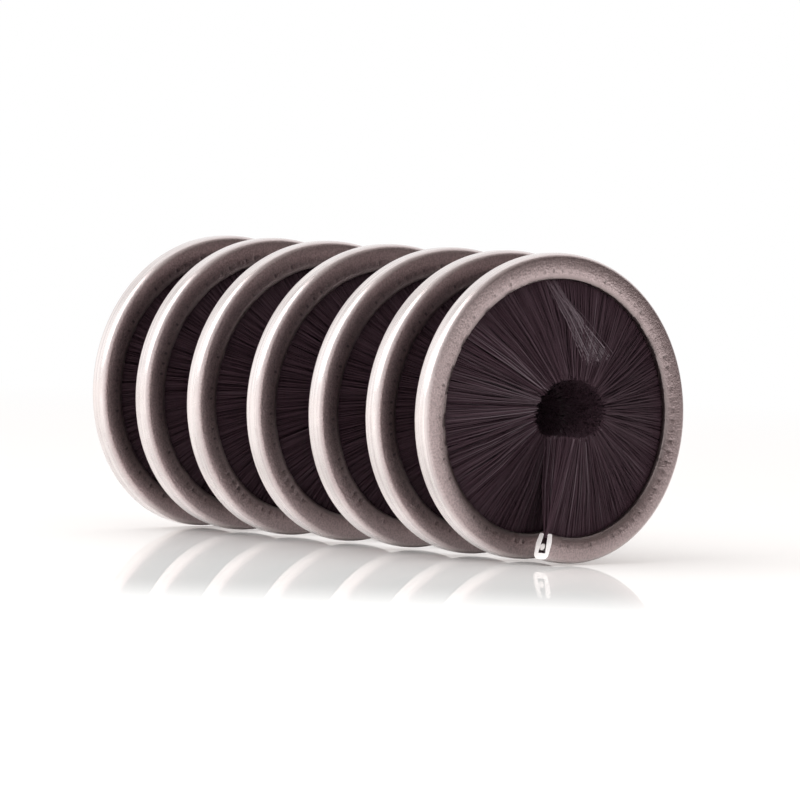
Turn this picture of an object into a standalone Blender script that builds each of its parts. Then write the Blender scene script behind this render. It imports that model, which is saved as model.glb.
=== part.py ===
"""Rope cleaning brush: a metal channel strip full of bristles, wound into an open coil.

The coil lies along X with its front end at +X, and rests on the plane z = 0. It is a left-hand helix.
"""

import math

import bmesh
import bpy
import numpy as np
from mathutils import Vector

MM = 0.001

# The coil
COIL_DIAMETER = 43.0 * MM  # outside, across the flats of its facets
TURNS = 7.125  # its rear end lies 45 degrees further round than the front end
PITCH_AT_FRONT = 9.4 * MM
PITCH_AT_WIDEST = 14.5 * MM
PITCH_AT_REAR = 9.7 * MM
TURN_OF_WIDEST = 3.7  # turns from the front end to where the coil is most open
CUT_ANGLE = math.radians(-15.0)  # where the front end is cut, from straight down
FACETS_PER_TURN = 24

# The channel strip
STRIP_WIDTH = 3.3 * MM
STRIP_HEIGHT = 3.7 * MM
SHEET_THICKNESS = 0.5 * MM
BACK_CHAMFER = 0.55 * MM  # on the two folded corners of its back
LIP_SET_IN = 0.35 * MM  # how far the walls lean in at the lips, to grip the bristles

# The core wire
WIRE_DIAMETER = 1.0 * MM

# The bristles
TUFTS_PER_TURN = 8
STRANDS_PER_TUFT = 6
ROPE_HOLE_DIAMETER = 8.0 * MM  # left free between the tips
TIP_THICKNESS = 0.45 * MM
TIP_SPREAD = 4.0 * MM  # how far a tip leans to the rear or the front
LEANS = (-1.0, 0.0, 1.0)  # rear, upright and front, one strand after another
BRISTLE_RECESS = 0.3 * MM  # from the channel's lips down to the slice that holds the strands

# Clearance between pieces that touch
GAP = 0.3 * MM

# Radii and half widths that follow from these
FULL_TURN = 2.0 * math.pi
FACET_ANGLE = FULL_TURN / FACETS_PER_TURN
SAME_ANGLE = 1e-6
BACK_RADIUS = COIL_DIAMETER / 2.0
LIP_RADIUS = BACK_RADIUS - STRIP_HEIGHT
FLOOR_RADIUS = BACK_RADIUS - SHEET_THICKNESS
WIRE_RADIUS = FLOOR_RADIUS - GAP - WIRE_DIAMETER / 2.0
SLICE_OUTER_RADIUS = WIRE_RADIUS - WIRE_DIAMETER / 2.0 - GAP
SLICE_INNER_RADIUS = LIP_RADIUS + BRISTLE_RECESS
SLICE_HALF_WIDTH = STRIP_WIDTH / 2.0 - SHEET_THICKNESS - LIP_SET_IN - GAP


def advance(turns):
    """Distance along the axis from the front end, where the pitch swells and shrinks smoothly."""
    to_widest = min(turns, TURN_OF_WIDEST) / TURN_OF_WIDEST
    swell = PITCH_AT_WIDEST - PITCH_AT_FRONT
    distance = TURN_OF_WIDEST * (PITCH_AT_FRONT * to_widest + swell * eased(to_widest))
    if turns > TURN_OF_WIDEST:
        rear_turns = TURNS - TURN_OF_WIDEST
        to_rear = (turns - TURN_OF_WIDEST) / rear_turns
        shrink = PITCH_AT_REAR - PITCH_AT_WIDEST
        distance += rear_turns * (PITCH_AT_WIDEST * to_rear + shrink * eased(to_rear))
    return distance


def eased(share):
    """Area under the curve 3 s^2 - 2 s^3 from 0 to share."""
    return share**3 - share**4 / 2.0


def coil_point(angle, along, radius):
    """Point on the coil: angle counts from straight down at the front end, radius to a facet's middle."""
    off_middle = (angle + FACET_ANGLE / 2.0) % FACET_ANGLE - FACET_ANGLE / 2.0
    reach = radius / math.cos(off_middle)
    centre = advance(TURNS) / 2.0 - advance((angle - CUT_ANGLE) / FULL_TURN)
    return Vector((centre + along, reach * math.sin(angle), BACK_RADIUS - reach * math.cos(angle)))


def facet_corners(start, end):
    """Angles from start to end, with each facet corner that lies between them."""
    first = math.ceil((start + SAME_ANGLE) / FACET_ANGLE - 0.5)
    last = math.floor((end - SAME_ANGLE) / FACET_ANGLE - 0.5)
    return [start] + [(step + 0.5) * FACET_ANGLE for step in range(first, last + 1)] + [end]


def sweep(outline, angles):
    """Carry a closed outline of (along, radius) pairs through the given angles of the coil."""
    mesh = bmesh.new()
    start = mesh.faces.new([mesh.verts.new(coil_point(angles[0], *corner)) for corner in outline])
    end = start
    for angle in angles[1:]:
        section = end
        grown = bmesh.ops.extrude_face_region(mesh, geom=[section])["geom"]
        end = next(item for item in grown if isinstance(item, bmesh.types.BMFace))
        for vertex, corner in zip(end.verts, outline):
            vertex.co = coil_point(angle, *corner)
        if section != start:
            mesh.faces.remove(section)
    bmesh.ops.recalc_face_normals(mesh, faces=mesh.faces)
    return mesh


def material(name, colour, roughness, metallic):
    made = bpy.data.materials.new(name)
    made.use_nodes = True
    shader = made.node_tree.nodes["Principled BSDF"]
    shader.inputs["Base Color"].default_value = (*colour, 1.0)
    shader.inputs["Roughness"].default_value = roughness
    shader.inputs["Metallic"].default_value = metallic
    made.diffuse_color = (*colour, 1.0)
    return made


def add_solid(mesh, name, finish, collection):
    data = bpy.data.meshes.new(name)
    mesh.to_mesh(data)
    mesh.free()
    data.materials.append(finish)
    solid = bpy.data.objects.new(name, data)
    collection.objects.link(solid)
    return solid


def channel_outline():
    """U section of the strip, open to the axis: round the outside, then back along the inside."""
    half = STRIP_WIDTH / 2.0
    inner_half = half - SHEET_THICKNESS
    outside = [
        (-half + LIP_SET_IN, LIP_RADIUS),
        (-half, BACK_RADIUS - BACK_CHAMFER),
        (-half + BACK_CHAMFER, BACK_RADIUS),
        (half - BACK_CHAMFER, BACK_RADIUS),
        (half, BACK_RADIUS - BACK_CHAMFER),
        (half - LIP_SET_IN, LIP_RADIUS),
    ]
    inside = [
        (inner_half - LIP_SET_IN, LIP_RADIUS),
        (inner_half, FLOOR_RADIUS),
        (-inner_half, FLOOR_RADIUS),
        (-inner_half + LIP_SET_IN, LIP_RADIUS),
    ]
    return outside + inside


def least_gap(outline, angles):
    """Least distance from the strip's corners to those of the strip half a turn or more further on."""
    corners = np.array([[coil_point(angle, *corner) for corner in outline] for angle in angles])
    turned = np.array(angles)
    gaps = []
    for angle, here in zip(angles, corners):
        there = corners[turned > angle + math.pi].reshape(-1, 3)
        if len(there):
            gaps.append(np.linalg.norm(here[:, None] - there[None], axis=2).min())
    return min(gaps)


def core_wire(angles, finish, collection):
    """Round wire along the channel's floor, cut flush with the strip at both ends."""
    curve = bpy.data.curves.new("core_wire", "CURVE")
    curve.dimensions = "3D"
    curve.bevel_depth = WIRE_DIAMETER / 2.0
    curve.bevel_resolution = 1
    curve.use_fill_caps = True
    curve.materials.append(finish)
    spline = curve.splines.new("POLY")
    spline.points.add(len(angles) - 1)
    for point, angle in zip(spline.points, angles):
        point.co = (*coil_point(angle, 0.0, WIRE_RADIUS), 1.0)
    wire = bpy.data.objects.new("core_wire", curve)
    collection.objects.link(wire)
    return wire


def bristle_tuft(start, end):
    """A slice that lies in the channel, with a row of tapered strands that lean to and fro along X."""
    outline = (
        (-SLICE_HALF_WIDTH, SLICE_OUTER_RADIUS),
        (SLICE_HALF_WIDTH, SLICE_OUTER_RADIUS),
        (SLICE_HALF_WIDTH, SLICE_INNER_RADIUS),
        (-SLICE_HALF_WIDTH, SLICE_INNER_RADIUS),
    )
    angles = np.linspace(start, end, STRANDS_PER_TUFT + 1)
    half_gap = GAP / 2.0 / SLICE_INNER_RADIUS
    angles[0] += half_gap
    angles[-1] -= half_gap
    mesh = sweep(outline, angles)
    roots = [face for face in mesh.faces if round(face.normal.dot(inward(face))) == 1]
    roots.sort(key=lambda face: face.calc_center_median().x, reverse=True)
    strands = bmesh.ops.extrude_discrete_faces(mesh, faces=roots)["faces"]
    for index, tip in enumerate(strands):
        middle = (angles[index] + angles[index + 1]) / 2.0
        lean = LEANS[index % len(LEANS)] * TIP_SPREAD
        shape_tip(tip, middle, tip_place(middle, lean))
    return mesh


def tip_place(angle, lean):
    """Where a strand ends: on the edge of the rope's hole, and not past the coil's ends."""
    place = coil_point(angle, lean, ROPE_HOLE_DIAMETER / 2.0)
    furthest = (advance(TURNS) + STRIP_WIDTH - TIP_THICKNESS) / 2.0
    place.x = max(-furthest, min(furthest, place.x))
    return place


def inward(face):
    """Unit vector from a face's centre to the coil's axis."""
    centre = face.calc_center_median()
    return Vector((0.0, -centre.y, BACK_RADIUS - centre.z)).normalized()


def shape_tip(tip, angle, place):
    """Shrink a strand's end face to its tip and put it in its place, square to the axis."""
    around = Vector((0.0, math.cos(angle), math.sin(angle)))
    centre = tip.calc_center_median()
    half = TIP_THICKNESS / 2.0
    for vertex in tip.verts:
        offset = vertex.co - centre
        vertex.co = place + around * math.copysign(half, offset.dot(around))
        vertex.co.x += math.copysign(half, offset.x)


def build():
    for old in list(bpy.data.objects):
        bpy.data.objects.remove(old, do_unlink=True)
    brush = bpy.data.collections.new("rope_brush")
    bpy.context.scene.collection.children.link(brush)

    zinc = material("galvanised_steel", (0.66, 0.64, 0.62), 0.32, 1.0)
    steel = material("bright_wire", (0.72, 0.71, 0.70), 0.25, 1.0)
    nylon = material("black_nylon", (0.016, 0.013, 0.016), 0.45, 0.0)

    angles = facet_corners(CUT_ANGLE, CUT_ANGLE + FULL_TURN * TURNS)
    outline = channel_outline()
    print(f"Least gap between the strip's turns: {least_gap(outline, angles) / MM:.2f} mm")

    add_solid(sweep(outline, angles), "channel_strip", zinc, brush)
    core_wire(angles, steel, brush)
    tufts = round(TURNS * TUFTS_PER_TURN)
    tuft_angle = FULL_TURN * TURNS / tufts
    for index in range(tufts):
        turn, place = divmod(index, TUFTS_PER_TURN)
        start = CUT_ANGLE + index * tuft_angle
        name = f"bristles_turn{turn + 1}_{place + 1}"
        add_solid(bristle_tuft(start, start + tuft_angle), name, nylon, brush)


build()
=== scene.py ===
import math

import bpy
import numpy as np
from mathutils import Matrix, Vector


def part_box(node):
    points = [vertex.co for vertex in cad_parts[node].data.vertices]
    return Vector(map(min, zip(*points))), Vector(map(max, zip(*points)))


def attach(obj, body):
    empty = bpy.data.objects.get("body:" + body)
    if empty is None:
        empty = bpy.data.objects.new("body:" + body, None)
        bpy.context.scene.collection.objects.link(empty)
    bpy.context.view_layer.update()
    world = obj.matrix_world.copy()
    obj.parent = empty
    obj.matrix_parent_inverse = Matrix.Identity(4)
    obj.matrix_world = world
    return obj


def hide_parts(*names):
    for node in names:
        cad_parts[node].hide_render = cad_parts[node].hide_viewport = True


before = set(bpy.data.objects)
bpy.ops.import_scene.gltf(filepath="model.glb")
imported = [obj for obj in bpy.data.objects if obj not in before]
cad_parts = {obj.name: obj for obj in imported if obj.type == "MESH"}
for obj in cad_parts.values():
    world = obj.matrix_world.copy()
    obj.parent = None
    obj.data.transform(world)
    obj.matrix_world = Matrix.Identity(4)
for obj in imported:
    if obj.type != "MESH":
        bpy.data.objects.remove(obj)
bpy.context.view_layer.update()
print("frame loaded,", len(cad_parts), "nodes")

mm = 0.001
fullTurn = 2.0 * math.pi

# The coil that all pieces follow: an open left-hand helix along X, front end at +X
coil = {
    "turns": 7.125,
    "pitchAtFront": 9.4 * mm,
    "pitchAtWidest": 14.5 * mm,
    "pitchAtRear": 9.7 * mm,
    "turnOfWidest": 3.7,  # turns from the front end to where the coil is most open
    "cutAngle": math.radians(-15.0),  # front end, counted from straight down
    "stripWidth": 3.3 * mm,
    "stripHeight": 3.7 * mm,
}
stripLow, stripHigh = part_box("channel_strip")
backRadius = (stripHigh.z - stripLow.z) / 2.0
lipRadius = backRadius - coil["stripHeight"]
axisHeight = (stripHigh.z + stripLow.z) / 2.0
frontX = stripHigh.x - coil["stripWidth"] / 2.0
rearAngle = coil["cutAngle"] + fullTurn * coil["turns"]


# area under 3 s^2 - 2 s^3 from 0 to share
def eased(share):
    return share**3 - share**4 / 2.0


# distance from the front end: the pitch swells smoothly to its widest turn, then shrinks again
def advance(turns):
    widest = coil["turnOfWidest"]
    toWidest = np.minimum(turns, widest) / widest
    toRear = np.maximum(turns - widest, 0.0) / (coil["turns"] - widest)
    swell = coil["pitchAtWidest"] - coil["pitchAtFront"]
    shrink = coil["pitchAtRear"] - coil["pitchAtWidest"]
    opening = widest * (coil["pitchAtFront"] * toWidest + swell * eased(toWidest))
    closing = (coil["turns"] - widest) * (coil["pitchAtWidest"] * toRear + shrink * eased(toRear))
    return opening + closing


# middle of the strip along X: the front end's place less the advance
def stripMiddle(angle):
    return frontX - advance((angle - coil["cutAngle"]) / fullTurn)


# point on the coil: along is added to the strip's middle, and y, z circle the axis at the radius
def coilPoints(angle, along, radius):
    x = stripMiddle(angle) + along
    y = radius * np.sin(angle)
    z = axisHeight - radius * np.cos(angle)
    return np.stack(np.broadcast_arrays(x, y, z), axis=-1)


# corner numbers of the quads round a tube of rows x count points
def tubeFaces(rows, count):
    row = np.arange(rows - 1)[:, None] * count
    here = np.arange(count)[None, :]
    after = (here + 1) % count
    corners = [row + here, row + after, row + count + after, row + count + here]
    return np.stack(corners, axis=-1).reshape(-1, 4)


# mesh object at the origin from points, faces and one number a point for each named mark
def addPiece(name, points, faces, finish, marks, sharpAbove=30.0):
    mesh = bpy.data.meshes.new(name)
    mesh.from_pydata(points.reshape(-1, 3), [], faces)
    for mark, values in marks.items():
        layer = mesh.attributes.new(mark, "FLOAT", "POINT")
        layer.data.foreach_set("value", np.ravel(values).astype(np.float32))
    mesh.shade_smooth()
    mesh.set_sharp_from_angle(angle=math.radians(sharpAbove))
    mesh.materials.append(finish)
    piece = bpy.data.objects.new(name, mesh)
    bpy.context.scene.collection.objects.link(piece)
    return piece


# sRGB hex to linear red, green, blue and alpha
def linear(hexColour):
    channels = [int(hexColour[start:start + 2], 16) / 255.0 for start in (1, 3, 5)]
    return tuple(c / 12.92 if c <= 0.04045 else ((c + 0.055) / 1.055) ** 2.4 for c in channels) + (1.0,)


# one node with its settings, its inputs being sockets to link or plain values
def addNode(tree, kind, inputs, **settings):
    node = tree.nodes.new("ShaderNode" + kind)
    for setting, value in settings.items():
        setattr(node, setting, value)
    for socket, value in inputs.items():
        if isinstance(value, bpy.types.NodeSocket):
            tree.links.new(value, node.inputs[socket])
        else:
            node.inputs[socket].default_value = value
    return node


# a new material and its empty node tree
def newFinish(name):
    finish = bpy.data.materials.new(name)
    finish.use_nodes = True
    finish.node_tree.nodes.clear()
    return finish, finish.node_tree


# Galvanised steel strip, cold rolled and then folded into a channel: satin zinc grey with faint streaks
# along the strip from the rolls and a soft cloudiness from the zinc. The walls were knurled and crimped
# to hold the bristles, so they glitter finely, are a little duller, and carry a row of dents, which are
# painted darker inside as painted shade; the lips' inner edges are painted darker as painted shade too.
# The sawn ends show the bare bright metal.
zincStrip = {
    "colour": "#e6dedc",
    "cloudColour": "#c2b8b7",
    "wallColour": "#c8b5b5",
    # painted shade in the dents and on the lips' inner edges, and grime in the walls' pits
    "shadeAndGrimeColour": "#938685",
    "cutColour": "#fdfbfa",
    "roughness": 0.22,
    "roughnessSpread": 0.08,
    "spreadFrom": 0.1,  # of the lines' noise times the clouds'
    "spreadTo": 0.45,
    "wallRoughness": 0.14,  # added on the walls
    "cutRoughness": 0.2,  # added on the sawn ends
    "lineSpacing": 0.34,  # mm across the strip, some three times as coarse as real ones, so that they show
    "lineLength": 22.0,  # mm along it
    "lineDepth": 0.006 * mm,
    "streakFrom": 0.38,  # of the lines' noise
    "streakTo": 0.62,
    "cloudSize": 1.6 * mm,
    "knurlSize": 0.30 * mm,
    "knurlDepth": 0.07 * mm,
    "grime": 0.45,  # how dull the walls' pits are
    "grimeSize": 0.28 * mm,
    "grimeFrom": 0.42,  # of the pits' noise
    "grimeTo": 0.62,
    "grimeStarts": 0.4,  # the share of wall from which grime settles
}


def galvanisedStripFinish():
    finish, tree = newFinish("galvanised_strip")
    roll = addNode(tree, "UVMap", {}, uv_map="stripRoll").outputs["UV"]  # millimetres
    spread = (1.0 / zincStrip["lineLength"], 1.0 / zincStrip["lineSpacing"], 1.0)
    stretched = addNode(tree, "Mapping", {"Vector": roll, "Scale": spread}).outputs["Vector"]
    lines = addNode(tree, "TexNoise", {"Vector": stretched, "Scale": 1.0, "Detail": 3.0},
                    noise_dimensions="2D").outputs["Fac"]
    place = addNode(tree, "TexCoord", {}).outputs["Object"]
    clouds = addNode(tree, "TexNoise", {"Vector": place, "Scale": 1.0 / zincStrip["cloudSize"],
                                        "Detail": 4.0, "Roughness": 0.6}).outputs["Fac"]
    dent = addNode(tree, "Attribute", {}, attribute_name="dent").outputs["Fac"]
    cut = addNode(tree, "Attribute", {}, attribute_name="cut").outputs["Fac"]
    onSide = addNode(tree, "Attribute", {}, attribute_name="wall").outputs["Fac"]
    wall = addNode(tree, "Math", {0: onSide, 1: cut}, operation="SUBTRACT", use_clamp=True).outputs[0]
    streaks = addNode(tree, "MapRange", {"Value": lines, "From Min": zincStrip["streakFrom"],
                                         "From Max": zincStrip["streakTo"]}).outputs[0]
    uneven = addNode(tree, "Math", {0: streaks, 1: clouds}, operation="MULTIPLY").outputs[0]
    zinc = addNode(tree, "Mix", {0: uneven, 6: linear(zincStrip["colour"]),
                                 7: linear(zincStrip["cloudColour"])}, data_type="RGBA").outputs[2]
    onWall = addNode(tree, "Mix", {0: wall, 6: zinc, 7: linear(zincStrip["wallColour"])},
                     data_type="RGBA").outputs[2]
    pits = addNode(tree, "TexNoise", {"Vector": place, "Scale": 1.0 / zincStrip["grimeSize"],
                                      "Detail": 1.0}).outputs["Fac"]
    deep = addNode(tree, "MapRange", {"Value": pits, "From Min": zincStrip["grimeFrom"],
                                      "From Max": zincStrip["grimeTo"],
                                      "To Max": zincStrip["grime"]}).outputs[0]
    onFlat = addNode(tree, "MapRange", {"Value": wall, "From Min": zincStrip["grimeStarts"]}).outputs[0]
    grime = addNode(tree, "Math", {0: deep, 1: onFlat}, operation="MULTIPLY").outputs[0]
    # the dents and the lips' inner edges take the darker colour as painted shade, and the walls' pits take
    # it as grime
    shadeAndGrime = addNode(tree, "Math", {0: grime, 1: dent}, operation="MAXIMUM").outputs[0]
    shadedAndGrimy = addNode(tree, "Mix", {0: shadeAndGrime, 6: onWall, 7: linear(zincStrip["shadeAndGrimeColour"])},
                   data_type="RGBA").outputs[2]
    colour = addNode(tree, "Mix", {0: cut, 6: shadedAndGrimy, 7: linear(zincStrip["cutColour"])},
                     data_type="RGBA").outputs[2]
    both = addNode(tree, "Math", {0: lines, 1: clouds}, operation="MULTIPLY").outputs[0]
    low = zincStrip["roughness"]
    satin = addNode(tree, "MapRange", {"Value": both, "From Min": zincStrip["spreadFrom"],
                                       "From Max": zincStrip["spreadTo"], "To Min": low,
                                       "To Max": low + zincStrip["roughnessSpread"]}).outputs[0]
    duller = addNode(tree, "Math", {0: wall, 1: zincStrip["wallRoughness"], 2: satin},
                     operation="MULTIPLY_ADD").outputs[0]
    rough = addNode(tree, "Math", {0: cut, 1: zincStrip["cutRoughness"], 2: duller},
                    operation="MULTIPLY_ADD").outputs[0]
    rolled = addNode(tree, "Bump", {"Height": lines, "Strength": 1.0,
                                    "Distance": zincStrip["lineDepth"]}).outputs["Normal"]
    knurl = addNode(tree, "TexNoise", {"Vector": place, "Scale": 1.0 / zincStrip["knurlSize"],
                                       "Detail": 2.0, "Roughness": 0.6}).outputs["Fac"]
    rise = addNode(tree, "Math", {0: knurl, 1: wall}, operation="MULTIPLY").outputs[0]
    bump = addNode(tree, "Bump", {"Height": rise, "Strength": 1.0, "Distance": zincStrip["knurlDepth"],
                                  "Normal": rolled}).outputs["Normal"]
    shader = addNode(tree, "BsdfPrincipled", {"Base Color": colour, "Metallic": 1.0, "Roughness": rough,
                                              "Normal": bump})
    addNode(tree, "OutputMaterial", {"Surface": shader.outputs["BSDF"]})
    return finish


# Bright steel wire, cold drawn and then sawn: paler than the zinc, with a fine uneven grain, and matt
# enough for its sawn ends to catch the lamp.
drawnWire = {
    "colour": "#fbf8f6",
    "dullColour": "#dcd7d4",
    "roughness": 0.42,
    "roughnessSpread": 0.12,
    "grain": 0.35 * mm,
}


def drawnWireFinish():
    finish, tree = newFinish("bright_drawn_wire")
    place = addNode(tree, "TexCoord", {}).outputs["Object"]
    grain = addNode(tree, "TexNoise", {"Vector": place, "Scale": 1.0 / drawnWire["grain"],
                                       "Detail": 3.0}).outputs["Fac"]
    colour = addNode(tree, "Mix", {0: grain, 6: linear(drawnWire["colour"]),
                                   7: linear(drawnWire["dullColour"])}, data_type="RGBA").outputs[2]
    low = drawnWire["roughness"]
    rough = addNode(tree, "MapRange", {"Value": grain, "To Min": low,
                                       "To Max": low + drawnWire["roughnessSpread"]}).outputs[0]
    shader = addNode(tree, "BsdfPrincipled", {"Base Color": colour, "Metallic": 1.0, "Roughness": rough})
    addNode(tree, "OutputMaterial", {"Surface": shader.outputs["BSDF"]})
    return finish


# Black nylon 6 monofilament, extruded and drawn: nearly black with a violet-brown cast and a soft gloss
# along each strand, and a small tone that differs at random from strand to strand. Some strands are
# painted greyer as painted highlight, which draws the pale streaks in the fan, and the roots are painted
# darker as painted shade.
nylon = {
    "colour": "#3f2c34",
    "sheenColour": "#7a6e74",
    "roughness": 0.55,
    "roughnessSpread": 0.15,  # more on the strands painted paler
    "ior": 1.53,
    "gloss": 0.12,  # of the full 0.5, as the drawn skin is matted
}


def nylonFinish():
    finish, tree = newFinish("black_nylon_filament")
    tone = addNode(tree, "Attribute", {}, attribute_name="toneAndSheen").outputs["Fac"]
    colour = addNode(tree, "Mix", {0: tone, 6: linear(nylon["colour"]), 7: linear(nylon["sheenColour"])},
                     data_type="RGBA").outputs[2]
    low = nylon["roughness"]
    rough = addNode(tree, "MapRange", {"Value": tone, "To Min": low,
                                       "To Max": low + nylon["roughnessSpread"]}).outputs[0]
    shader = addNode(tree, "BsdfPrincipled", {"Base Color": colour, "Roughness": rough,
                                              "IOR": nylon["ior"], "Specular IOR Level": nylon["gloss"]})
    addNode(tree, "OutputMaterial", {"Surface": shader.outputs["BSDF"]})
    return finish


# The channel strip: a U section, its back to the outside, with round folds, walls that bulge a little
# and draw in towards the mouth, and a row of crimp dents in both walls that grip the bristles.
strip = {
    "sheet": 0.9 * mm,
    "foldRadius": 0.9 * mm,
    "foldFrom": math.radians(12.0),  # the wall's slope where the fold starts
    "foldPoints": 7,
    "crown": 0.03 * mm,  # how far the back's middle stands proud
    "lean": 0.35 * mm,  # how far each lip is set in from where the wall bulges most
    "widestAt": 1.9 * mm,  # from the lip up to that place
    "lipRound": 0.15 * mm,
    "lipWave": 0.03 * mm,
    "waveStep": 0.3,  # how fast the wave wanders from section to section
    "lipShares": (0.5, 0.5, 0.8, 1.0),  # how far the lip's points take the walls' finish
    "dentsPerTurn": 80,
    "dentDepth": 0.045 * mm,
    "dentFrom": 0.85 * mm,  # from the lip up the wall
    "dentTo": 1.6 * mm,
    "dentSlope": 0.2 * mm,
    "dentSections": (-0.16, -0.07, 0.07, 0.16, 0.5),  # shares of the dents' spacing
    "dentShares": (0.0, 1.0, 1.0, 0.0, 0.0),  # how far each of these sections is pressed
    "dentPress": (0.2, 1.1),  # from the faintest dent to the deepest
    "firstDent": 0.25,  # share of the spacing from the front end
    "sharpAbove": 38.0,  # degrees between two faces, from which their edge is sharp
    "seed": 11,
}


# one side of the section, from the lip's inner edge up the wall and round the fold to the back, as rows
# of along, radius, dent share and wall share: the wall is a parabola about the place where it bulges
# most, and the fold is an arc that starts at the wall's slope
def sectionSide():
    half = coil["stripWidth"] / 2.0
    fold = strip["foldRadius"]
    cornerFrom = backRadius - strip["crown"] - fold

    def wallAt(radius):
        return half - strip["lean"] * (1.0 - (radius - lipRadius) / strip["widestAt"]) ** 2

    mouth = half - strip["lean"]
    rounding = strip["lipRound"]
    edge = [(mouth - strip["sheet"], lipRadius + rounding), (mouth - strip["sheet"] + rounding, lipRadius),
            (mouth - rounding, lipRadius), (wallAt(lipRadius + rounding), lipRadius + rounding)]
    lip = [(*point, 0.0, share) for point, share in zip(edge, strip["lipShares"])]
    heights = [strip["dentFrom"], strip["dentFrom"] + strip["dentSlope"],
               strip["dentTo"] - strip["dentSlope"], strip["dentTo"]]
    wall = [(wallAt(lipRadius + height), lipRadius + height, share, 1.0)
            for height, share in zip(heights, (0.0, 1.0, 1.0, 0.0))]
    turned = np.linspace(strip["foldFrom"], math.radians(90.0), strip["foldPoints"])
    foldMiddle = wallAt(cornerFrom + fold * math.sin(turned[0])) - fold * math.cos(turned[0])
    corner = [(foldMiddle + fold * math.cos(t), cornerFrom + fold * math.sin(t), 0.0, math.cos(t) ** 2)
              for t in turned]
    return np.array(lip + wall + corner)


# the strip carried along the coil: each section's (along, radius) is the outline, less the dents
def makeChannelStrip(finish):
    side = sectionSide()
    floorRadius = backRadius - strip["sheet"]
    innerHalf = coil["stripWidth"] / 2.0 - strip["sheet"]
    mirrored = side[::-1] * (-1.0, 1.0, 1.0, 1.0)
    outline = np.vstack([side, [(0.0, backRadius, 0.0, 0.0)], mirrored,
                         [(-innerHalf, floorRadius, 0.0, 0.0), (innerHalf, floorRadius, 0.0, 0.0)]])

    spacing = fullTurn / strip["dentsPerTurn"]
    dents = int(coil["turns"] * strip["dentsPerTurn"])
    centres = coil["cutAngle"] + spacing * (np.arange(dents) + strip["firstDent"])
    angles = (centres[:, None] + spacing * np.array(strip["dentSections"])).ravel()
    angles = np.append(np.maximum(angles, coil["cutAngle"]), rearAngle)
    chance = np.random.default_rng(strip["seed"])
    pressed = chance.uniform(*strip["dentPress"], dents)[:, None] * strip["dentShares"]
    pressed = np.append(pressed.ravel(), 0.0)

    dent = pressed[:, None] * outline[:, 2]
    along = outline[:, 0] - np.sign(outline[:, 0]) * strip["dentDepth"] * dent
    wander = np.cumsum(chance.normal(0.0, 1.0, len(angles)))
    wave = strip["lipWave"] * np.sin(wander * strip["waveStep"])
    atLip = (outline[:, 1] < lipRadius + strip["dentFrom"]).astype(float)
    radius = outline[:, 1] + atLip * np.abs(wave)[:, None]
    points = coilPoints(angles[:, None], along, radius)

    rows, count = points.shape[:2]
    quads = tubeFaces(rows, count)
    front = np.arange(count)[::-1]
    rear = front[::-1] + (rows - 1) * count
    piece = addPiece("channelStrip", points, quads.tolist() + [front.tolist(), rear.tolist()], finish,
                     # the lips' inner edges are marked like dents, so they are painted darker as painted
                     # shade
                     {"dent": np.maximum(dent, outline[:, 1] <= lipRadius + strip["lipRound"]),
                      "wall": np.broadcast_to(outline[:, 3], (rows, count))}, strip["sharpAbove"])
    cut = piece.data.attributes.new("cut", "FLOAT", "FACE")
    cut.data.foreach_set("value", np.append(np.zeros(len(quads)), (1.0, 1.0)).astype(np.float32))

    # UV in millimetres: along the coil at the back, and round the section
    steps = np.linalg.norm(np.diff(np.vstack([outline, outline[:1]])[:, :2], axis=0), axis=1)
    roundSection = np.concatenate([[0.0], np.cumsum(steps)]) / mm
    alongCoil = (angles - coil["cutAngle"]) * backRadius / mm
    row, column = np.divmod(np.arange(len(quads)), count)
    sides = np.stack([alongCoil[row[:, None] + [0, 0, 1, 1]],
                      roundSection[column[:, None] + [0, 1, 1, 0]]], axis=-1).reshape(-1, 2)
    caps = [outline[order, :2] / mm + (alongCoil[end], 0.0)
            for end, order in ((0, front), (-1, front[::-1]))]
    layer = piece.data.uv_layers.new(name="stripRoll")
    layer.data.foreach_set("uv", np.concatenate([sides, *caps]).ravel().astype(np.float32))

    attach(piece, "root")
    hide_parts("channel_strip")
    print("channel strip,", rows, "sections of", count, "points")


# The core wire: lies along the channel's floor and holds the bristles' fold.
wire = {
    "diameter": 1.0 * mm,
    "sides": 14,
    "sectionsPerTurn": 120,
    "underWire": 0.35 * mm,  # room for the fold between the wire and the channel's floor
    "endRound": 0.03 * mm,
    "sharpAbove": 35.0,
}
wireRadius = backRadius - strip["sheet"] - wire["underWire"] - wire["diameter"] / 2.0


# a round tube along the coil: along and radius circle the wire's middle, with its two ends eased
def makeCoreWire(finish):
    slope = wire["endRound"] / wireRadius
    sections = int(coil["turns"] * wire["sectionsPerTurn"])
    body = np.linspace(coil["cutAngle"] + slope, rearAngle - slope, sections)
    angles = np.concatenate([[coil["cutAngle"]], body, [rearAngle]])
    thickness = np.full(len(angles), wire["diameter"] / 2.0)
    thickness[[0, -1]] -= wire["endRound"]
    turned = np.linspace(0.0, fullTurn, wire["sides"], endpoint=False)
    along = thickness[:, None] * np.cos(turned)
    radius = wireRadius + thickness[:, None] * np.sin(turned)
    points = coilPoints(angles[:, None], along, radius)
    rows, count = points.shape[:2]
    front = np.arange(count)[::-1]
    rear = front[::-1] + (rows - 1) * count
    faces = tubeFaces(rows, count).tolist() + [front.tolist(), rear.tolist()]
    piece = addPiece("coreWire", points, faces, finish, {}, wire["sharpAbove"])
    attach(piece, "root")
    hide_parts("core_wire")
    print("core wire,", rows, "sections")


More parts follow.
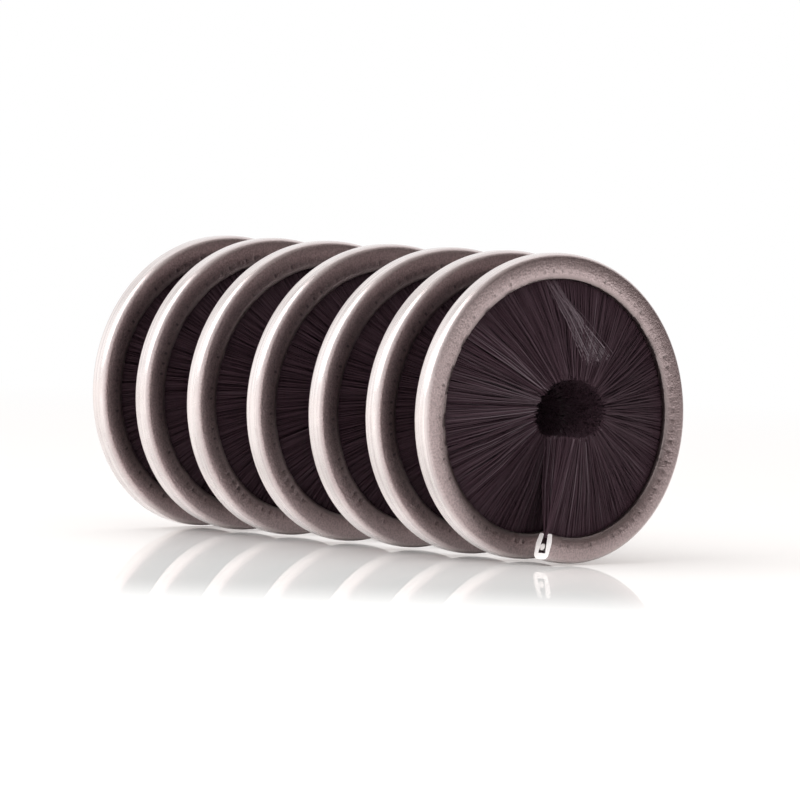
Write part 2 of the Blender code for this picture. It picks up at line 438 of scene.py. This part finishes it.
# The bristles: filaments folded round the core wire, gripped by the channel and fanned towards the axis.
bristles = {
    "perTurn": 9000,
    "thickness": 0.13 * mm,
    "locksPerTurn": 240,  # neighbours that lean together
    "turnMargin": 0.0008,  # share of a turn left free at its ends, for half a filament
    "rootDepth": 0.4 * mm,  # from the bed's top down to the filaments' roots
    "holeDiameter": 8.0 * mm,  # left free between the tips
    "fan": 4.6 * mm,  # how far the outermost tips lean to the front and the rear
    "lockLean": 0.05,  # how unevenly locks and strands lean, in shares of that
    "strandLean": 0.12,
    "tipUnevenness": 0.4 * mm,
    "lockSwing": math.radians(1.2),  # how far a lock's tips stray round the axis
    "strandSwing": math.radians(2.0),
    "bow": 0.1 * mm,
    "bowAxes": (0.5, 1.0, 1.0),  # how much of it along X, Y and Z
    "flare": 0.12,  # how much sooner a strand leans out than a straight one, as a share of its lean
    "sheenShare": 0.006,
    # on the front turn, where more strands are painted paler as painted highlight: in degrees from
    # straight down, the spread in degrees and the share
    "sheenAt": ((14.0, 26.0, 0.2), (270.0, 36.0, 0.5)),
    "sheened": (0.1, 0.6),  # how pale these are painted as painted highlight, then the others' random tone, and the swept lock's painted highlight
    "unsheened": (0.0, 0.1),
    "sheenSwept": (0.35, 0.85),
    "sheenAlong": (0.2, 0.75, 1.0),  # how the painted highlight grows from root to tip, which paints the roots darker as painted shade
    "sweptFrom": math.radians(182.0),  # a lock on the front turn, brushed aside and painted paler as painted highlight
    "sweptTo": math.radians(188.0),
    "sweptShare": 0.42,
    "sweptSwing": math.radians(-52.0),
    "sweptSpread": (0.5, 1.0),  # shares of that swing
    "sweptTips": 5.5 * mm,  # how much further from the axis its outermost tip ends
    "sweptTipSpread": (0.7, 1.1),
    "segments": 2,
    "sharpAbove": 75.0,
    "seed": 5,
}

# The bed: the filaments' fold round the wire, which closes the channel behind the rows of roots.
bed = {
    "clearance": 0.04 * mm,  # to the channel's inside and the wire
    "top": 0.2 * mm,  # from the lips down to where the filaments leave the fold
    "sectionsPerTurn": 96,
    "joint": 0.02 * mm,  # between the beds of two turns
    "setBack": 1.0 * mm,  # from the cut ends into the channel
    "mouthLean": 0.9,  # how far the bed's sides follow the walls' lean
    "slit": 0.04 * mm,  # between the fold's two halves
    "wrapPoints": 13,
    "wrapGap": math.radians(4.0),  # left open round the wire, towards the slit
}


# filaments as three-sided tubes: root, bowed middle and tip lie on a parabola from the channel towards
# the axis, with a triangle round each of these points
def makeStrands(turn, chance):
    share = min(1.0, coil["turns"] - turn)
    count = int(bristles["perTurn"] * share)
    start = coil["cutAngle"] + fullTurn * turn
    margin = bristles["turnMargin"]
    rootAngle = start + fullTurn * share * np.sort(chance.uniform(margin, 1.0 - margin, count))
    lock = ((rootAngle - start) / fullTurn * bristles["locksPerTurn"]).astype(int)
    lockSwing = chance.normal(0.0, bristles["lockSwing"], bristles["locksPerTurn"])[lock]
    lockLean = chance.normal(0.0, bristles["lockLean"], bristles["locksPerTurn"])[lock]
    sheenChance = np.full(count, bristles["sheenShare"])
    for centre, spread, more in bristles["sheenAt"] if turn == 0 else ():
        off = (np.degrees(rootAngle) - centre + 180.0) % 360.0 - 180.0
        sheenChance += more * np.exp(-((off / spread) ** 2))
    hasSheen = chance.uniform(size=count) < sheenChance
    inLock = (turn == 0) & (rootAngle > bristles["sweptFrom"]) & (rootAngle < bristles["sweptTo"])
    isSwept = inLock & (chance.uniform(size=count) < bristles["sweptShare"])
    swept = isSwept * chance.uniform(*bristles["sweptSpread"], count)

    place = chance.uniform(-1.0, 1.0, count)
    mouthHalf = coil["stripWidth"] / 2.0 - strip["lean"] - strip["sheet"] - bristles["thickness"] / 2.0
    rootAlong = place * mouthHalf
    rootRadius = np.full(count, lipRadius + bed["top"] + bristles["rootDepth"])
    lean = np.clip(place + lockLean + chance.normal(0.0, bristles["strandLean"], count), -1.0, 1.0)
    lean = np.where(isSwept, 1.0, lean)
    tipAngle = rootAngle + lockSwing + chance.normal(0.0, bristles["strandSwing"], count)
    tipAngle += swept * bristles["sweptSwing"]
    uneven = np.abs(chance.normal(0.0, bristles["tipUnevenness"], count))
    tipRadius = bristles["holeDiameter"] / 2.0 + uneven
    tipRadius += swept * chance.uniform(*bristles["sweptTipSpread"], count) * bristles["sweptTips"]
    middle = stripMiddle(rootAngle)
    reach = stripHigh.x - bristles["thickness"]
    room = np.where(lean > 0.0, reach - middle, reach + middle)
    tipAlong = lean * np.minimum(bristles["fan"], room)

    root = coilPoints(rootAngle, rootAlong, rootRadius)
    tip = coilPoints(rootAngle, tipAlong, tipRadius)
    tip[:, 1:] = coilPoints(tipAngle, tipAlong, tipRadius)[:, 1:]
    bow = chance.normal(0.0, 1.0, (count, 3)) * bristles["bow"] * bristles["bowAxes"]
    bow[:, 0] += bristles["flare"] * (tipAlong - rootAlong)
    along = np.linspace(0.0, 1.0, bristles["segments"] + 1)[None, :, None]
    parabola = 4.0 * along * (1.0 - along)
    middles = root[:, None] * (1.0 - along) + tip[:, None] * along + bow[:, None] * parabola
    middles[..., 0] = np.clip(middles[..., 0], -reach, reach)

    heading = tip - root
    heading /= np.linalg.norm(heading, axis=1, keepdims=True)
    sideways = np.cross(heading, (1.0, 0.0, 0.0))
    sideways /= np.linalg.norm(sideways, axis=1, keepdims=True)
    forwards = np.cross(heading, sideways)
    turned = chance.uniform(0.0, fullTurn, count)[:, None] + fullTurn * np.arange(3) / 3.0
    offset = np.cos(turned)[..., None] * sideways[:, None] + np.sin(turned)[..., None] * forwards[:, None]
    points = middles[:, :, None] + offset[:, None] * (bristles["thickness"] / 2.0)
    # painted highlight: some strands painted paler, the others with a small random tone; all are painted
    # darker towards the roots as painted shade
    toneAndSheen = np.where(hasSheen, chance.uniform(*bristles["sheened"], count),
                     chance.uniform(*bristles["unsheened"], count))
    toneAndSheen = np.where(isSwept, chance.uniform(*bristles["sheenSwept"], count), toneAndSheen)
    marks = toneAndSheen[:, None, None] * np.array(bristles["sheenAlong"])[None, :, None] * np.ones(3)

    rows = bristles["segments"] + 1
    first = (np.arange(count) * rows * 3)[:, None, None]
    quads = (tubeFaces(rows, 3)[None] + first).reshape(-1, 4)
    rootEnds = np.array([2, 1, 0]) + first[:, 0]
    tipEnds = np.array([0, 1, 2]) + (rows - 1) * 3 + first[:, 0]
    return points.reshape(-1, 3), quads, np.vstack([rootEnds, tipEnds]), marks.ravel()


# the fold: fills the channel's inside and wraps the wire, as one outline carried along the turn
def makeBed(turn):
    gap = bed["clearance"]
    floor = backRadius - strip["sheet"] - gap
    innerHalf = coil["stripWidth"] / 2.0 - strip["sheet"] - gap
    mouthHalf = innerHalf - strip["lean"] * bed["mouthLean"]
    top = lipRadius + bed["top"]
    grip = wire["diameter"] / 2.0 + gap
    opening = bed["wrapGap"] / 2.0 - math.pi / 2.0
    around = np.linspace(opening, math.pi - opening, bed["wrapPoints"])
    channel = [(-mouthHalf, top), (-innerHalf, floor), (innerHalf, floor), (mouthHalf, top)]
    wrap = [(grip * math.cos(t), wireRadius + grip * math.sin(t)) for t in around]
    outline = np.array(channel + [(bed["slit"] / 2.0, top)] + wrap + [(-bed["slit"] / 2.0, top)])
    share = min(1.0, coil["turns"] - turn)
    start = coil["cutAngle"] + fullTurn * turn
    end = start + fullTurn * share
    start += (bed["setBack"] if turn == 0 else bed["joint"]) / lipRadius
    end -= (bed["setBack"] if share < 1.0 else bed["joint"]) / lipRadius
    angles = np.linspace(start, end, int(bed["sectionsPerTurn"] * share) + 1)
    points = coilPoints(angles[:, None], outline[:, 0], outline[:, 1])
    rows, count = points.shape[:2]
    front = np.arange(count)
    return points.reshape(-1, 3), tubeFaces(rows, count)[:, ::-1], front, front[::-1] + (rows - 1) * count


# one turn's filaments and its bed in one mesh
def makeBristleTurn(turn, finish):
    chance = np.random.default_rng(bristles["seed"] + turn)
    points, quads, ends, toneAndSheen = makeStrands(turn, chance)
    bedPoints, bedQuads, bedFront, bedRear = makeBed(turn)
    shift = len(points)
    faces = (quads.tolist() + ends.tolist() + (bedQuads + shift).tolist()
             + [(bedFront + shift).tolist(), (bedRear + shift).tolist()])
    marks = np.concatenate([toneAndSheen, np.zeros(len(bedPoints))])
    piece = addPiece(f"bristleTurn{turn + 1}", np.vstack([points, bedPoints]), faces, finish,
                     {"toneAndSheen": marks}, bristles["sharpAbove"])
    nodes = sorted(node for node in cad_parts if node.startswith(f"bristles_turn{turn + 1}_"))
    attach(piece, "root")
    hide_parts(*nodes)


# The studio: glossy white acrylic sheet for a floor, a white room whose right side is unlit and whose
# ceiling is dim, a bright panel above and behind, and a softbox up to the left. Directions are in the
# picture's right, forward and up, and heights are the upward part of a direction.
studio = {
    "floorRadius": 0.7,
    "floorSides": 96,
    "floorColour": "#f6f6f5",
    "floorSheen": "#fff7f4",
    "mirrorDepth": 0.2 * mm,  # the mirroring face lies this far under the sheet's clear top
    "floorIor": 1.49,
    "floorGloss": 0.62,
    "floorRoughness": 0.004,
    "glossEnds": 0.152,  # in front of the coil's axis middle, where the sheet turns matt
    "glossFade": 0.07,
    "whiteFrom": 0.20,  # beyond this the floor is as white as the room
    "whiteAt": 0.55,
    "paintedGlow": 0.32,  # painted light: the sheet glows next to the coil on the lamp's side, seen only in reflections
    "paintedGlowAt": -13.0 * mm,  # across the coil's axis
    "paintedGlowReach": 12.0 * mm,
    "paintedGlowEnds": 46.0 * mm,  # along the coil's axis, from its middle
    "paintedWhiteLine": 0.3,  # painted light: the sheet glows under the coil, seen only by the camera, which leaves a white line there
    "paintedWhiteLineAt": 2.0 * mm,
    "paintedWhiteLineReach": 8.0 * mm,
    "paintedWhiteLineEnds": 38.0 * mm,
    "endFade": 14.0 * mm,  # over which both die away at their ends
    "fill": 1.3,
    "fillShare": 0.55,  # of the light that matt surfaces take from the room
    "litLevel": 0.78,
    "litSide": (-0.966, -0.259, 0.0),
    "litMore": 0.5,  # added at the middle of the lit side
    "litFall": 3.0,  # the power by which that falls off
    "panelSide": (0.1, -0.7, 0.7),
    "panelFrom": 0.68,  # cosines of the angle off its middle, from its soft edge inwards
    "panelTo": 0.80,
    "panelLevel": 1.08,
    "unlitSide": (0.996, 0.087, 0.0),
    "unlitFrom": 0.28,  # cosines too
    "unlitTo": 0.75,
    "unlitColour": "#a69e9d",  # at the horizon
    "unlitAbove": "#5a5150",
    "aboveFrom": 0.02,  # heights between which the first gives way to the second
    "aboveTo": 0.18,
    "ceilingFrom": 0.55,  # heights too
    "ceilingTo": 0.8,
    "ceilingLit": "#cfcbc9",
    "ceilingColour": "#968f8c",
    "ceilingDimFrom": -0.1,  # towards the unlit side
    "ceilingDimTo": 0.3,
    "softboxPlace": (-0.56, 0.30, 0.50),
    "softboxSize": (0.9, 0.9),
    "softboxLevel": 1.7,
}

# The camera: its angles, its lens, and its distance and offsets from the coil's middle.
view = {
    "azimuth": math.radians(51.18),
    "elevation": math.radians(2.32),
    "roll": math.radians(1.65),
    "focalPixels": 7225.0,
    "imageWidth": 800.0,
    "sensorWidth": 36.0,
    "clip": (0.05, 20.0),
    "distance": 48.12,  # this and the offsets are in coil radii
    "toRight": 0.1207,
    "upwards": -0.0414,
}


# camera axes: back points from the coil to the camera, then right and up, turned by the roll
def cameraAxes():
    az, el, roll = view["azimuth"], view["elevation"], view["roll"]
    back = np.array([math.sin(az) * math.cos(el), -math.cos(az) * math.cos(el), math.sin(el)])
    level = np.array([math.cos(az), math.sin(az), 0.0])
    upright = np.cross(back, level)
    right = math.cos(roll) * level + math.sin(roll) * upright
    up = -math.sin(roll) * level + math.cos(roll) * upright
    return right, up, back


# the matrix whose columns are an object's three axes and its place
def placed(right, up, back, place):
    matrix = np.eye(4)
    matrix[:3] = np.stack([right, up, back, place], axis=1)
    return Matrix(matrix)


# the camera stands back from the coil's middle, and looks along its own back axis the other way
def makeCamera():
    right, up, back = cameraAxes()
    sight = bpy.data.cameras.new("camera")
    sight.sensor_width = view["sensorWidth"]
    sight.lens = sight.sensor_width * view["focalPixels"] / view["imageWidth"]
    place = (back * view["distance"] + right * view["toRight"] + up * view["upwards"]) * backRadius
    place[2] += axisHeight
    sight.clip_start, sight.clip_end = view["clip"]
    camera = bpy.data.objects.new("camera", sight)
    camera.matrix_world = placed(right, up, back, place)
    bpy.context.scene.collection.objects.link(camera)
    bpy.context.scene.camera = camera


# a lamp aimed at the coil's middle, whose surface shines at the given level, where 1 is white
def addSoftbox(name, place, size, level):
    lamp = bpy.data.lights.new(name, "AREA")
    lamp.shape = "RECTANGLE"
    lamp.size, lamp.size_y = size
    lamp.energy = level * math.pi * size[0] * size[1]
    box = bpy.data.objects.new(name, lamp)
    bpy.context.scene.collection.objects.link(box)
    backwards = np.array(place) - (0.0, 0.0, axisHeight)
    backwards /= np.linalg.norm(backwards)
    side = np.cross((0.0, 0.0, 1.0), backwards)
    side /= np.linalg.norm(side)
    box.matrix_world = placed(side, np.cross(backwards, side), backwards, place)


# the picture's right, forward and up parts put together as a world direction, with the floor level
def inWorld(rightwards, forwards, upwards):
    az = view["azimuth"]
    x = rightwards * math.cos(az) + forwards * math.sin(az)
    y = rightwards * math.sin(az) - forwards * math.cos(az)
    return x, y, upwards


# the room: white to the camera, and around the object a lit side, an unlit side and a dim ceiling
def makeRoom():
    world = bpy.data.worlds.new("studio")
    world.use_nodes = True
    tree = world.node_tree
    tree.nodes.clear()
    bpy.context.scene.world = world
    heading = addNode(tree, "TexCoord", {}).outputs["Generated"]
    height = addNode(tree, "SeparateXYZ", {"Vector": heading}).outputs["Z"]
    facing = addNode(tree, "VectorMath", {0: heading, 1: inWorld(*studio["unlitSide"])},
                     operation="DOT_PRODUCT").outputs["Value"]
    dim = addNode(tree, "MapRange", {"Value": facing, "From Min": studio["unlitFrom"],
                                     "From Max": studio["unlitTo"]},
                  interpolation_type="SMOOTHSTEP").outputs[0]
    high = addNode(tree, "MapRange", {"Value": height, "From Min": studio["aboveFrom"],
                                      "From Max": studio["aboveTo"]},
                   interpolation_type="SMOOTHSTEP").outputs[0]
    overhead = addNode(tree, "MapRange", {"Value": height, "From Min": studio["ceilingFrom"],
                                          "From Max": studio["ceilingTo"]},
                       interpolation_type="SMOOTHSTEP").outputs[0]
    toLit = addNode(tree, "VectorMath", {0: heading, 1: inWorld(*studio["litSide"])},
                    operation="DOT_PRODUCT").outputs["Value"]
    near = addNode(tree, "Math", {0: toLit, 1: 0.0}, operation="MAXIMUM").outputs[0]
    peak = addNode(tree, "Math", {0: near, 1: studio["litFall"]}, operation="POWER").outputs[0]
    lit = addNode(tree, "Math", {0: peak, 1: studio["litMore"], 2: studio["litLevel"]},
                  operation="MULTIPLY_ADD").outputs[0]
    unlit = addNode(tree, "Mix", {0: high, 6: linear(studio["unlitColour"]),
                                  7: linear(studio["unlitAbove"])}, data_type="RGBA").outputs[2]
    walls = addNode(tree, "Mix", {0: dim, 6: lit, 7: unlit}, data_type="RGBA").outputs[2]
    across = addNode(tree, "MapRange", {"Value": facing, "From Min": studio["ceilingDimFrom"],
                                        "From Max": studio["ceilingDimTo"]}).outputs[0]
    ceiling = addNode(tree, "Mix", {0: across, 6: linear(studio["ceilingLit"]),
                                    7: linear(studio["ceilingColour"])}, data_type="RGBA").outputs[2]
    room = addNode(tree, "Mix", {0: overhead, 6: walls, 7: ceiling}, data_type="RGBA").outputs[2]
    toPanel = addNode(tree, "VectorMath", {0: heading, 1: inWorld(*studio["panelSide"])},
                      operation="DOT_PRODUCT").outputs["Value"]
    inPanel = addNode(tree, "MapRange", {"Value": toPanel, "From Min": studio["panelFrom"],
                                         "From Max": studio["panelTo"]},
                      interpolation_type="SMOOTHSTEP").outputs[0]
    panel = (studio["panelLevel"],) * 3 + (1.0,)
    around = addNode(tree, "Mix", {0: inPanel, 6: room, 7: panel}, data_type="RGBA").outputs[2]
    path = addNode(tree, "LightPath", {}).outputs
    evened = addNode(tree, "Math", {0: path["Is Diffuse Ray"], 1: studio["fillShare"]},
                     operation="MULTIPLY").outputs[0]
    fill = (studio["fill"],) * 3 + (1.0,)
    indirect = addNode(tree, "Mix", {0: evened, 6: around, 7: fill}, data_type="RGBA").outputs[2]
    white = (1.0, 1.0, 1.0, 1.0)
    colour = addNode(tree, "Mix", {0: path["Is Camera Ray"], 6: indirect, 7: white},
                     data_type="RGBA").outputs[2]
    shine = addNode(tree, "Background", {"Color": colour, "Strength": 1.0}).outputs["Background"]
    addNode(tree, "OutputWorld", {"Surface": shine})


# Acrylic sheet, cast glossy white: it mirrors at a low angle, and turns matt some way in front. Next to
# the coil it has painted light: a glow seen only in reflections, and a white line under the coil seen only
# by the camera.
def acrylicFinish():
    finish, tree = newFinish("white_acrylic")
    place = addNode(tree, "TexCoord", {}).outputs["Object"]
    ahead = addNode(tree, "VectorMath", {0: place, 1: inWorld(0.0, 1.0, 0.0)},
                    operation="DOT_PRODUCT").outputs["Value"]
    far = addNode(tree, "VectorMath", {0: place}, operation="LENGTH").outputs["Value"]
    ends = studio["glossEnds"]
    glossy = addNode(tree, "MapRange", {"Value": ahead, "From Min": ends - studio["glossFade"],
                                        "From Max": ends, "To Min": studio["floorGloss"], "To Max": 0.0},
                     interpolation_type="SMOOTHSTEP").outputs[0]
    lowAngle = addNode(tree, "Fresnel", {"IOR": studio["floorIor"]}).outputs[0]
    share = addNode(tree, "Math", {0: glossy, 1: lowAngle}, operation="MULTIPLY").outputs[0]
    matt = addNode(tree, "BsdfDiffuse", {"Color": linear(studio["floorColour"])}).outputs["BSDF"]
    mirror = addNode(tree, "BsdfGlossy", {"Color": linear(studio["floorSheen"]),
                                          "Roughness": studio["floorRoughness"]}).outputs["BSDF"]
    sheet = addNode(tree, "MixShader", {0: share, 1: matt, 2: mirror}).outputs[0]
    whiten = addNode(tree, "MapRange", {"Value": far, "From Min": studio["whiteFrom"],
                                        "From Max": studio["whiteAt"]}).outputs[0]
    path = addNode(tree, "LightPath", {}).outputs
    whiter = addNode(tree, "Math", {0: whiten, 1: path["Is Camera Ray"]}, operation="MULTIPLY").outputs[0]
    white = addNode(tree, "Emission", {"Strength": 1.0}).outputs["Emission"]
    whitened = addNode(tree, "MixShader", {0: whiter, 1: sheet, 2: white}).outputs[0]
    parts = addNode(tree, "SeparateXYZ", {"Vector": place}).outputs
    lengthwise = addNode(tree, "Math", {0: parts["X"]}, operation="ABSOLUTE").outputs[0]
    # painted light: glows that the sheet gives off next to and under the coil, though it is no lamp
    shine = 0.0
    for light, ray in (("paintedGlow", "Is Glossy Ray"), ("paintedWhiteLine", "Is Camera Ray")):
        off = addNode(tree, "Math", {0: parts["Y"], 1: studio[light + "At"]},
                      operation="SUBTRACT").outputs[0]
        apart = addNode(tree, "Math", {0: off}, operation="ABSOLUTE").outputs[0]
        level = addNode(tree, "MapRange", {"Value": apart, "From Min": studio[light + "Reach"],
                                           "From Max": 0.0, "To Max": studio[light]},
                        interpolation_type="SMOOTHSTEP").outputs[0]
        ends = studio[light + "Ends"]
        under = addNode(tree, "MapRange", {"Value": lengthwise, "From Min": ends,
                                           "From Max": ends - studio["endFade"], "To Max": path[ray]},
                        interpolation_type="SMOOTHSTEP").outputs[0]
        shine = addNode(tree, "Math", {0: level, 1: under, 2: shine},
                        operation="MULTIPLY_ADD").outputs[0]
    paintedLight = addNode(tree, "Emission", {"Strength": shine}).outputs["Emission"]
    surface = addNode(tree, "AddShader", {0: whitened, 1: paintedLight}).outputs[0]
    addNode(tree, "OutputMaterial", {"Surface": surface})
    return finish


# a flat round floor at the sheet's mirroring face, just under the height that the coil rests on
def makeFloor():
    turned = np.linspace(0.0, fullTurn, studio["floorSides"], endpoint=False)
    level = np.full(len(turned), stripLow.z - studio["mirrorDepth"])
    radius = studio["floorRadius"]
    edge = np.stack([radius * np.cos(turned), radius * np.sin(turned), level], axis=-1)
    floor = addPiece("floor", edge, [list(range(len(turned)))], acrylicFinish(), {})


makeCamera()
makeRoom()
makeFloor()
addSoftbox("softbox", inWorld(*studio["softboxPlace"]), studio["softboxSize"], studio["softboxLevel"])
print("studio set")

makeChannelStrip(galvanisedStripFinish())
makeCoreWire(drawnWireFinish())
nylonFilament = nylonFinish()
for turn in range(math.ceil(coil["turns"])):
    makeBristleTurn(turn, nylonFilament)
print("bristles,", int(coil["turns"] * bristles["perTurn"]), "filaments")

scene = bpy.context.scene
scene.view_settings.view_transform = "Standard"
